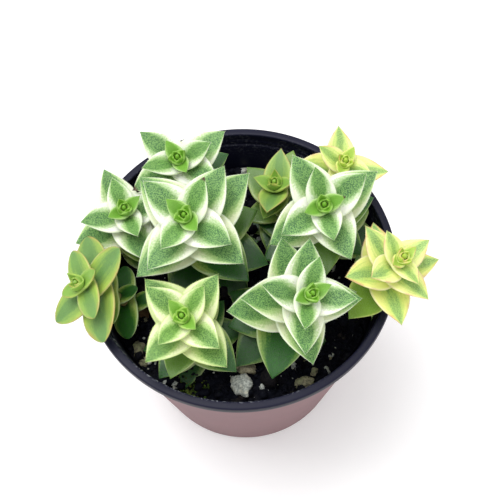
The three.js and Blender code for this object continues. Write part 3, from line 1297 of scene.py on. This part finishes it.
        # the funnel narrows a lifted leaf, and half of that is given back across it
        widen = 1.0 + 0.5 * (1.0 / math.cos(math.radians(min(self.lift, 70.0))) - 1.0)
        rise = steep + easing * (out - hole)
        level = hole + (np.sin(rise) - math.sin(steep)) / easing
        height = (math.cos(steep) - np.cos(rise)) / easing
        radial = np.maximum(level - offset * np.sin(rise), hole * 0.9)
        local = np.stack(
            [
                radial * cos_d,
                radial * sin_d * (1.0 + (widen - 1.0) * np.sin(v)),
                height + offset * np.cos(rise),
            ],
            axis=-1,
        )

        place, up = axis.at(self.depth)
        turn = math.radians(self.turn)
        heading = np.array([math.cos(turn), math.sin(turn), 0.0])
        x_axis = unit(heading - up * (heading @ up))
        y_axis = np.cross(up, x_axis)
        world = place + local @ np.stack([x_axis, y_axis, up])

        ones = np.ones_like(s)
        fields = {
            "along": s,
            "across": t,
            "upper": 0.5 + 0.5 * np.cos(v) * ones,
            "age": self.age * ones,
            "tone": (pick((0.0, 0.5)) + 0.37 * (self.seed % 17)) * ones,
            "scorch": pick(self.scorch) * ones,
        }
        leaf = Shell(
            world.reshape(-1, 3),
            grid_quads(self.stations, self.rings, loop_rows=True),
            fields={name: values.ravel() for name, values in fields.items()},
        ).outward()
        if not self.hairs:
            return leaf
        middle = self.rings // 2
        rim = {name: values[:, middle] for name, values in fields.items()}
        inner = 0.5 * (world[:, middle - 2] + world[:, middle + 2])
        return Shell.joined([leaf, papillae(world[:, middle], inner, rim, rng)])


def papillae(
    rim: Floats,
    inner: Floats,
    fields: dict[str, Floats],
    rng: np.random.Generator,
) -> Shell:
    """Tiny pointed hairs along a leaf's rim, each a four-sided spike.

    Their feet are spaced evenly along the closed rim line. A spike's foot is a triangle square to
    the outward direction, just inside the rim, and its point stands out from it.

    Args:
        rim: Points of the rim, in order round the leaf.
        inner: Points just inside the leaf, one for each rim point.
        fields: The rim's values, which the spikes take on.
        rng: Source of their differences.

    Returns:
        The spikes as one skin.
    """
    spacing, length, foot, rooted = 0.3, 0.36, 0.075, 0.12
    closed = np.concatenate([rim, rim[:1]])
    run = np.concatenate([[0.0], np.cumsum(np.linalg.norm(np.diff(closed, axis=0), axis=1))])
    number = max(int(run[-1] / spacing), 8)
    where = (np.arange(number) + rng.uniform(-0.3, 0.3, number)) * run[-1] / number
    where = np.clip(where, 0.0, run[-1])

    def blend(values: Floats) -> Floats:
        """The rim points' values at the feet of the spikes."""
        return np.interp(where, run, np.append(values, values[0]))

    def spread(rows: Floats) -> Floats:
        """The same for three numbers a point."""
        return np.stack([blend(rows[:, k]) for k in range(3)], axis=1)

    base = spread(rim)
    outward = unit(spread(unit(rim - inner)))
    tangent = unit(spread(np.roll(rim, -1, axis=0) - np.roll(rim, 1, axis=0)))
    side = unit(np.cross(tangent, outward))
    size = rng.uniform(0.55, 1.15, number)[:, None]
    lean = rng.normal(0.0, 0.3, (number, 2))
    point = base + size * length * unit(outward + lean[:, :1] * tangent + lean[:, 1:] * side)
    angles = angles_round(3)
    feet = (
        (base - outward * rooted)[:, None]
        + foot * np.cos(angles)[None, :, None] * tangent[:, None]
        + foot * np.sin(angles)[None, :, None] * side[:, None]
    )
    points = np.concatenate([feet, point[:, None]], axis=1).reshape(-1, 3)
    faces = np.array([[0, 1, 3], [1, 2, 3], [2, 0, 3], [2, 1, 0]])
    starts = 4 * np.arange(number)[:, None, None]
    values = {name: np.repeat(blend(row), 4) for name, row in fields.items()}
    values["across"] = np.ones(4 * number)
    values["upper"] = np.full(4 * number, 0.8)
    spikes = Shell(points, np.zeros((0, 4), int), (faces[None] + starts).reshape(-1, 3), values)
    return spikes.outward()


@dataclass(frozen=True)
class OldPair:
    """A grown pair low on a stem; its fields are those of LeafPair."""

    depth: float
    turn: float
    reach: float
    lift: float
    partner: float = 1.0
    age: float = 1.0


@dataclass
class Shoot:
    """One stem with its bud and its crossed pairs of leaves.

    Attributes:
        name: Name that its frame nodes carry.
        foot: X and Y of its rooted end.
        tip: Place of its growing tip.
        slope: Slope of the stem at the tip.
        reach: Reach that its leaves grow towards.
        turns: Compass turn of each pair, youngest first.
        finish: Finish of its leaves.
        slot: Material slot of its leaves.
        scorched: Pair and leaf numbers whose tips are brown.
        old: Pairs below the frame's, hidden in the pot's shade.
        blunt: Whether its leaves are nearly flat ovals.
    """

    name: str
    foot: tuple[float, float]
    tip: tuple[float, float, float]
    slope: tuple[float, float]
    reach: float
    turns: tuple[float, ...]
    finish: LeafFinish = CREAM
    slot: Slot = Slot.CREAM
    scorched: tuple[tuple[int, int], ...] = ()
    old: tuple[OldPair, ...] = ()
    blunt: bool = False

    FOLDED: ClassVar[tuple[tuple[float, ...], ...]] = (
        # depth, turn, share of the reach, lift, age, bend, points round the outline and section
        (2.8, 88.0, 0.25, 52.0, 0.12, -20.0, 72, 17),
        (2.0, 8.0, 0.17, 58.0, 0.06, -45.0, 64, 15),
        (1.2, 95.0, 0.1, 62.0, 0.0, -60.0, 48, 13),
    )

    def seed(self, order: int) -> int:
        """Seed of a pair's own differences."""
        return 1000 + 37 * sum(map(ord, self.name)) + 11 * order

    def pairs(self) -> list[LeafPair]:
        """The pairs by the growth rules of the plant.

        Pair n lies 1.9 + 1.85 n + 0.17 n^2 below the tip, reaches 1 - exp(-n / 2.6) of the full
        reach and stands 10 + 26 * 0.75^(n - 1) degrees above square to the stem. A blunt shoot's
        leaves keep 0.35 of that lift.

        Returns:
            The pairs, youngest first.
        """
        return [
            LeafPair(
                depth=1.9 + 1.85 * order + 0.17 * order**2,
                turn=turn,
                reach=self.reach * (1.0 - math.exp(-order / 2.6)),
                lift=(10.0 + 26.0 * 0.75 ** (order - 1)) * (0.35 if self.blunt else 1.0),
                age=min(2.0, (order - 0.25) / 2.6),
                seed=self.seed(order),
                scorch=tuple(float((order, leaf) in self.scorched) for leaf in (0, 1)),
                blunt=self.blunt,
            )
            for order, turn in enumerate(self.turns, start=1)
        ]

    def bud(self, axis: StemAxis) -> Shell:
        """The folded heart: small cupped pairs, each crossed with the last, over a core.

        Args:
            axis: The stem's centre line.

        Returns:
            The skins of the pairs and the core as one.
        """
        last = self.turns[0]
        shells = [
            LeafPair(
                depth, last + turn, self.reach * share, lift, age, self.seed(-number),
                bend=bend, stations=stations, rings=rings, hairs=False,
            ).shell(axis)
            for number, (depth, turn, share, lift, age, bend, stations, rings) in enumerate(
                self.FOLDED, start=1)
        ]
        place, up = axis.at(1.2)
        core = grain_shell(
            place[None], np.array([[0.8, 0.8, 1.3]]), np.zeros((1, 3)), 10, 16, 0.05, Roughcast(3))
        core.fields = {"upper": np.ones(len(core.points)), "along": np.full(len(core.points), 0.6)}
        return Shell.joined([*shells, core])

    def stem(self, axis: StemAxis) -> Shell:
        """The stem: circles square to the axis, swollen at each node, closed at both ends.

        Its radius at depth d is 0.9 + 0.028 d, times 1 + 0.28 exp(-(distance to a node / 0.45)^2),
        and the last 1.5 mm at each end close as (1 - x^4)^(1/2).

        Args:
            axis: The centre line.

        Returns:
            The closed skin, with its depth and its node rings.
        """
        around, rings, closing, node_width, node_swell = 20, 150, 1.5, 0.45, 0.28
        depth = np.linspace(1.4, axis.length - 0.2, rings)
        nodes = np.array([pair.depth for pair in (*self.pairs(), *self.old)])
        near = np.exp(-((depth[:, None] - nodes[None]) / node_width) ** 2).sum(axis=1)
        ends = np.clip(np.minimum(depth - 1.39, axis.length - 0.19 - depth) / closing, 0.0, 1.0)
        radius = axis.radius(depth) * (1.0 + node_swell * near) * (1 - (1 - ends) ** 4) ** 0.5
        place, up = axis.at(depth)
        side = unit(np.cross(up, [0.0, 1.0, 0.0]))
        front = np.cross(up, side)
        turn = angles_round(around)[None, :, None]
        uneven = 1.0 + 0.06 * Roughcast(self.seed(0)).at(
            place[:, None] + 2.0 * np.concatenate([np.cos(turn), np.sin(turn), 0 * turn], -1), 1.7)
        points = place[:, None] + (radius[:, None] * uneven)[..., None] * (
            np.cos(turn) * side[:, None] + np.sin(turn) * front[:, None])
        skin = Shell.tube(points, place[[0, -1]])
        share = np.repeat(depth / axis.length, around)
        ring = np.repeat(np.clip(near, 0, 1), around)
        skin.fields = {"depth": np.append(share, [0.0, 1.0]), "ring": np.append(ring, [0.0, 0.0])}
        return skin

    def build(
        self,
        leaves: bpy.types.Material,
        shade: bpy.types.Material,
        bark: bpy.types.Material,
    ) -> None:
        """Makes the stem, the bud and every pair.

        Args:
            leaves: Material of the leaves.
            shade: Material of the old pairs, darkened with painted shade.
            bark: Material of the stem.
        """
        axis = StemAxis(self.foot, self.tip, self.slope)
        settle(
            self.stem(axis).to_object(f"stalk_{self.name}", bark), Slot.STEM, f"stem_{self.name}")
        settle(self.bud(axis).to_object(f"bud_{self.name}", leaves), self.slot)
        for order, pair in enumerate(self.pairs(), start=1):
            piece = pair.shell(axis).to_object(f"leaves_{self.name}_{order}", leaves)
            settle(piece, self.slot, f"leaf_pair_{self.name}_{order}")
        if self.old:
            shells = [
                LeafPair(pair.depth, pair.turn, pair.reach, pair.lift, pair.age,
                         self.seed(50 + number), partner=pair.partner, hairs=False,
                         blunt=self.blunt).shell(axis)
                for number, pair in enumerate(self.old)
            ]
            low = Shell.joined(shells)
            low.points = POT.keep_inside(low.points)
            settle(low.to_object(f"old_leaves_{self.name}", shade), self.slot)


SHOOTS = (
    Shoot("back_left", (-19, 31), (-18, 26.4, 101), (-0.08, -0.26), 24.4, (118, 20, 142, 30),
          scorched=((4, 1),), old=(OldPair(16, 300, 17, 4, 0.7), OldPair(20, 28, 17, 2))),
    Shoot("left", (-36, 15), (-35, 12, 96), (0.05, -0.15), 23, (35, 112, 15, 112, 28),
          old=(OldPair(19.5, 296, 15.5, 6, 0.8, 0.4), OldPair(24, 205, 13, 0),
               OldPair(28, 300, 15, -4))),
    Shoot("centre_left", (-12, 11), (-15.8, 1.6, 108), (-0.18, -0.26), 27,
          (130, 55, 138, 52, 135, 40), scorched=((2, 0),),
          old=(OldPair(23.5, 309, 23, 2, 0.8), OldPair(28, 24, 21, 0, 0.85, 0.6),
               OldPair(32.5, 340, 23, -6, 0.7), OldPair(36.5, 60, 22, -8),
               OldPair(40, 310, 22, -8), OldPair(42, 5, 19, 12))),
    Shoot("front_left", (-16, -22), (-17.3, -27.6, 101), (-0.1, -0.22), 23,
          (130, 50, 137, 48, 128), finish=BUTTER,
          old=(OldPair(19.5, 244, 17, 4, 1.0, 0.5), OldPair(23.5, 318, 19, 0, 0.85),
               OldPair(27.5, 230, 17, -8, 0.9), OldPair(31, 10, 17, -8),
               OldPair(35, 75, 15, -10))),
    Shoot("front_right", (10, -15), (21, -25.4, 107), (0.38, -0.3), 23,
          (20, 80, 175, 90, 0, 103, 187),
          old=(OldPair(27.5, 262, 22, -5, 0.7), OldPair(32, 194, 18, -10, 0.8),
               OldPair(36, 228, 21, -12), OldPair(40, 150, 19, -10))),
    Shoot("right_back", (27, 13), (26, 2.6, 108), (-0.04, -0.44), 25, (20, 100, 35, 115, 30),
          scorched=((1, 0),),
          old=(OldPair(19.5, 274, 20, 5, 0.8, 0.5), OldPair(23.5, 18, 18, 2, 0.85),
               OldPair(27.5, 318, 17.5, -4, 0.8), OldPair(32, 210, 22, -4),
               OldPair(36, 165, 22, -6), OldPair(40, 255, 19, -6))),
    Shoot("back_right", (28, 26), (35, 24, 98), (0.15, -0.2), 21, (60, 150, 95, 178),
          finish=GOLD, slot=Slot.GOLD, old=(OldPair(16, 272, 14, 6), OldPair(20, 185, 15, 0))),
    Shoot("right_edge", (36, -16), (48.5, -14, 105), (0.3, -0.14), 19.5,
          (35, 120, 35, 128, 14, 100), finish=GOLD, slot=Slot.GOLD,
          old=(OldPair(23.5, 227, 17.5, 6, 0.7, 0.15), OldPair(27.5, 292, 16, 1, 0.8, 0.6))),
    Shoot("left_edge", (-28, -11), (-50, -12.5, 95), (-0.7, -0.2), 23.5, (20, 112, 28, 98),
          finish=MEADOW, slot=Slot.GOLD, blunt=True,
          old=(OldPair(17, 92, 10.5, 0, 1.0, 0.5), OldPair(21, 10, 8, 0), OldPair(25, 96, 13, -4),
               OldPair(29, 12, 9, -8))),
    Shoot("back_centre", (14, 24), (12, 22, 91), (-0.2, 0.1), 26, (165, 75),
          finish=MEADOW, slot=Slot.GOLD,
          old=(OldPair(9.5, 66, 16.5, 18, 0.75, 0.3), OldPair(13, 128, 16.5, 14, 0.8, 0.5),
               OldPair(17, 22, 17, 6, 0.8, 0.5), OldPair(21, 255, 17, 0),
               OldPair(25, 190, 15, -5))),
)


# ---- studio ---------------------------------------------------------------------------------


@dataclass
class Studio:
    """Pale floor, soft lights and the camera.

    Attributes:
        target: Point that the camera looks at, in millimetres.
        distance: Distance from it, in millimetres.
        elevation: Camera's height above the horizon, in degrees.
        roll: Camera's roll, in degrees.
        lens: Focal length on a sensor 36 mm wide.
        room_light: Strength of the even light of the room.
        floor_glow: Strength of the floor's own light.
        floor_half: Half the floor's side, in millimetres.
    """

    target: tuple[float, float, float] = (3.7, 2.6, 80.0)
    distance: float = 314.0
    elevation: float = 62.93
    roll: float = -2.8
    lens: float = 70.35
    room_light: float = 0.74
    floor_glow: float = 0.12
    floor_half: float = 3000.0

    def camera(self) -> None:
        """Places the camera: it looks along -back, and its right and up axes are rolled."""
        e, r = math.radians(self.elevation), math.radians(self.roll)
        back = Vector((0.0, -math.cos(e), math.sin(e)))
        level = Vector((1.0, 0.0, 0.0))
        over = back.cross(level)
        right = math.cos(r) * level + math.sin(r) * over
        up = back.cross(right)
        data = bpy.data.cameras.new("camera")
        data.lens, data.sensor_width = self.lens, 36.0
        data.clip_start, data.clip_end = 0.01, 20.0
        camera = bpy.data.objects.new("camera", data)
        axes = Matrix((right, up, back)).transposed().to_4x4()
        place = Vector(self.target) * MM + back * self.distance * MM
        camera.matrix_world = Matrix.Translation(place) @ axes
        bpy.context.scene.collection.objects.link(camera)
        bpy.context.scene.camera = camera

    def light(self, name: str, place: Sequence[float], size: float, power: float) -> None:
        """Adds a square soft light that faces the plant.

        Args:
            name: Name of the light.
            place: Where it hangs, in metres.
            size: Side of the square, in metres.
            power: Power in watts.
        """
        data = bpy.data.lights.new(name, "AREA")
        data.size, data.energy = size, power
        lamp = bpy.data.objects.new(name, data)
        lamp.location = place
        aim = Vector((0.0, 0.0, 0.06)) - Vector(place)
        lamp.rotation_mode = "QUATERNION"
        lamp.rotation_quaternion = aim.to_track_quat("-Z", "Y")
        bpy.context.scene.collection.objects.link(lamp)

    def build(self) -> None:
        """Sets up the floor, the light and the camera."""
        corners = np.array([[-1, -1, 0], [1, -1, 0], [1, 1, 0], [-1, 1, 0]])
        floor = Shell(corners * self.floor_half, np.array([[0, 1, 2, 3]]))
        g = Graph("pale_floor")
        paper = g.noise(g.position(), 0.004, 3.0)
        material = g.surface(
            g.mix(paper, (0.93, 0.93, 0.94), (0.97, 0.97, 0.97)),
            0.9,
            Emission_Color=(1.0, 1.0, 1.0, 1.0),
            Emission_Strength=self.floor_glow,
        )
        floor.to_object("pale_floor", material)
        world = bpy.data.worlds.new("soft_room")
        world.use_nodes = True
        backdrop = world.node_tree.nodes["Background"]
        backdrop.inputs["Color"].default_value = (1.0, 1.0, 1.0, 1.0)
        backdrop.inputs["Strength"].default_value = self.room_light
        bpy.context.scene.world = world
        self.light("key", (-0.22, 0.12, 0.85), 0.6, 5.6)
        self.light("fill", (0.45, -0.45, 0.75), 0.8, 1.3)
        bpy.context.scene.view_settings.view_transform = "Standard"
        self.camera()


# ---- assembly -------------------------------------------------------------------------------


def main() -> None:
    logging.basicConfig(level=logging.INFO, format="%(name)s %(message)s")
    Studio().build()
    POT.build()
    PottingMix().build()
    shade, bark = SHADE.material(), StemFinish().material()
    leaves = {finish.name: finish.material() for finish in (CREAM, BUTTER, GOLD, MEADOW)}
    for shoot in SHOOTS:
        shoot.build(leaves[shoot.finish.name], shade, bark)


if __name__ == "__main__":
    main()
